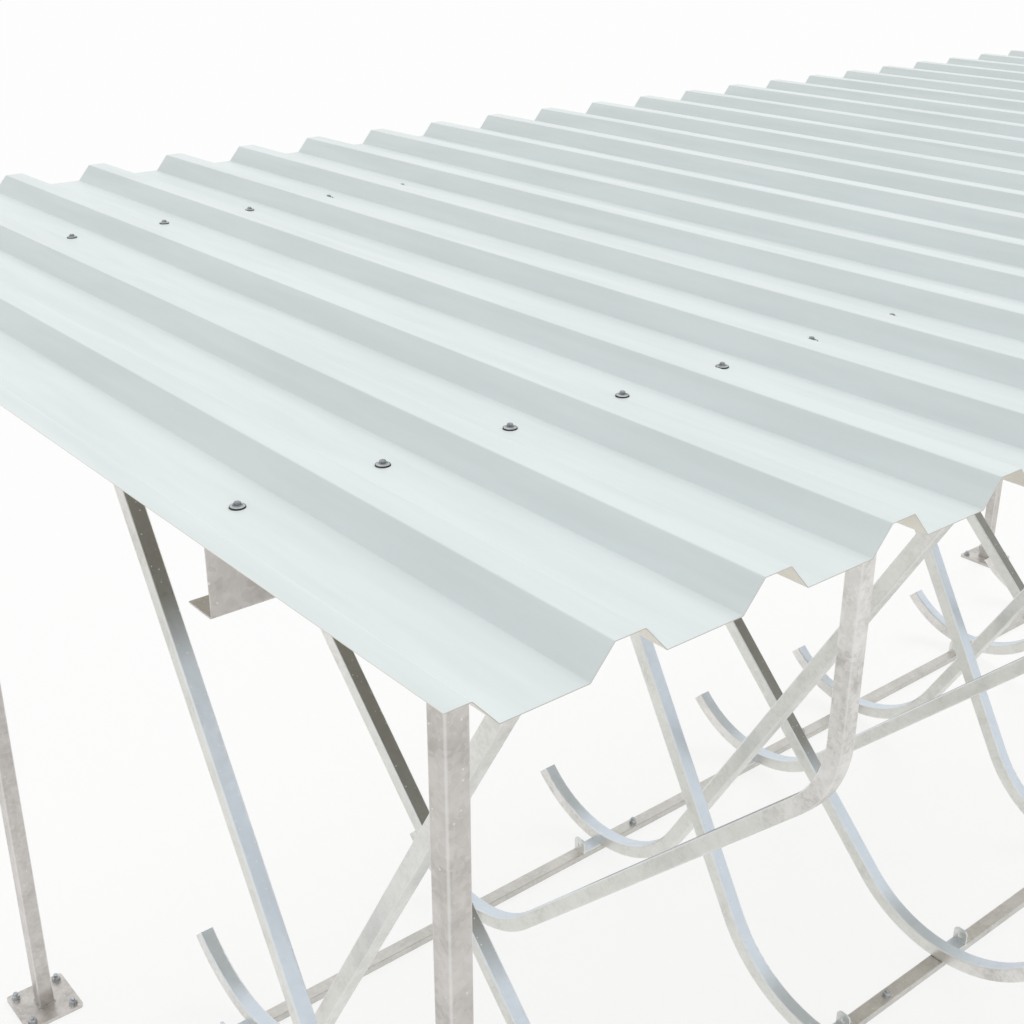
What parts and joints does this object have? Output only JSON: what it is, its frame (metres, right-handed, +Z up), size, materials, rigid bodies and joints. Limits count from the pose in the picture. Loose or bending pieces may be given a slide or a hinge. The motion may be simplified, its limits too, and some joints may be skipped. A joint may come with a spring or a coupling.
{
  "type": "bike shelter",
  "caption": "Open two-sided bike shelter: a flat trapezoidal sheet roof on purlins and slim posts, with bent square-tube bars that end in wheel hooks on two ground rails.",
  "frame": {"origin": "on the ground below the middle of the roof", "axes": "+X along the row of bikes, +Y across the row from front to back, +Z up"},
  "size_m": [4.782, 2.546, 2.066],
  "materials": {
    "coated_sheet": "satin",
    "galvanised_steel": "satin"
  },
  "bodies": {
    "root": {"roof_sheet_1": "coated_sheet", "roof_sheet_2": "coated_sheet", "roof_sheet_3": "coated_sheet", "roof_sheet_4": "coated_sheet", "roof_sheet_5": "coated_sheet", "front_purlin": "galvanised_steel", "front_ground_rail": "galvanised_steel", "front_rail_brackets": "galvanised_steel", "front_low_bar_1": "galvanised_steel", "front_low_bar_2": "galvanised_steel", "front_low_bar_3": "galvanised_steel", "front_steep_bar_1": "galvanised_steel", "front_steep_bar_2": "galvanised_steel", "front_steep_bar_3": "galvanised_steel", "front_steep_bar_4": "galvanised_steel", "back_purlin": "galvanised_steel", "back_ground_rail": "galvanised_steel", "back_rail_brackets": "galvanised_steel", "back_low_bar_1": "galvanised_steel", "back_low_bar_2": "galvanised_steel", "back_low_bar_3": "galvanised_steel", "back_steep_bar_1": "galvanised_steel", "back_steep_bar_2": "galvanised_steel", "back_steep_bar_3": "galvanised_steel", "back_steep_bar_4": "galvanised_steel", "left_end_beam": "galvanised_steel", "left_front_post": "galvanised_steel", "left_front_base_plate": "galvanised_steel", "left_back_post": "galvanised_steel", "left_back_base_plate": "galvanised_steel", "right_end_beam": "galvanised_steel", "right_front_post": "galvanised_steel", "right_front_base_plate": "galvanised_steel", "right_back_post": "galvanised_steel", "right_back_base_plate": "galvanised_steel"}
  },
  "joints": []
}
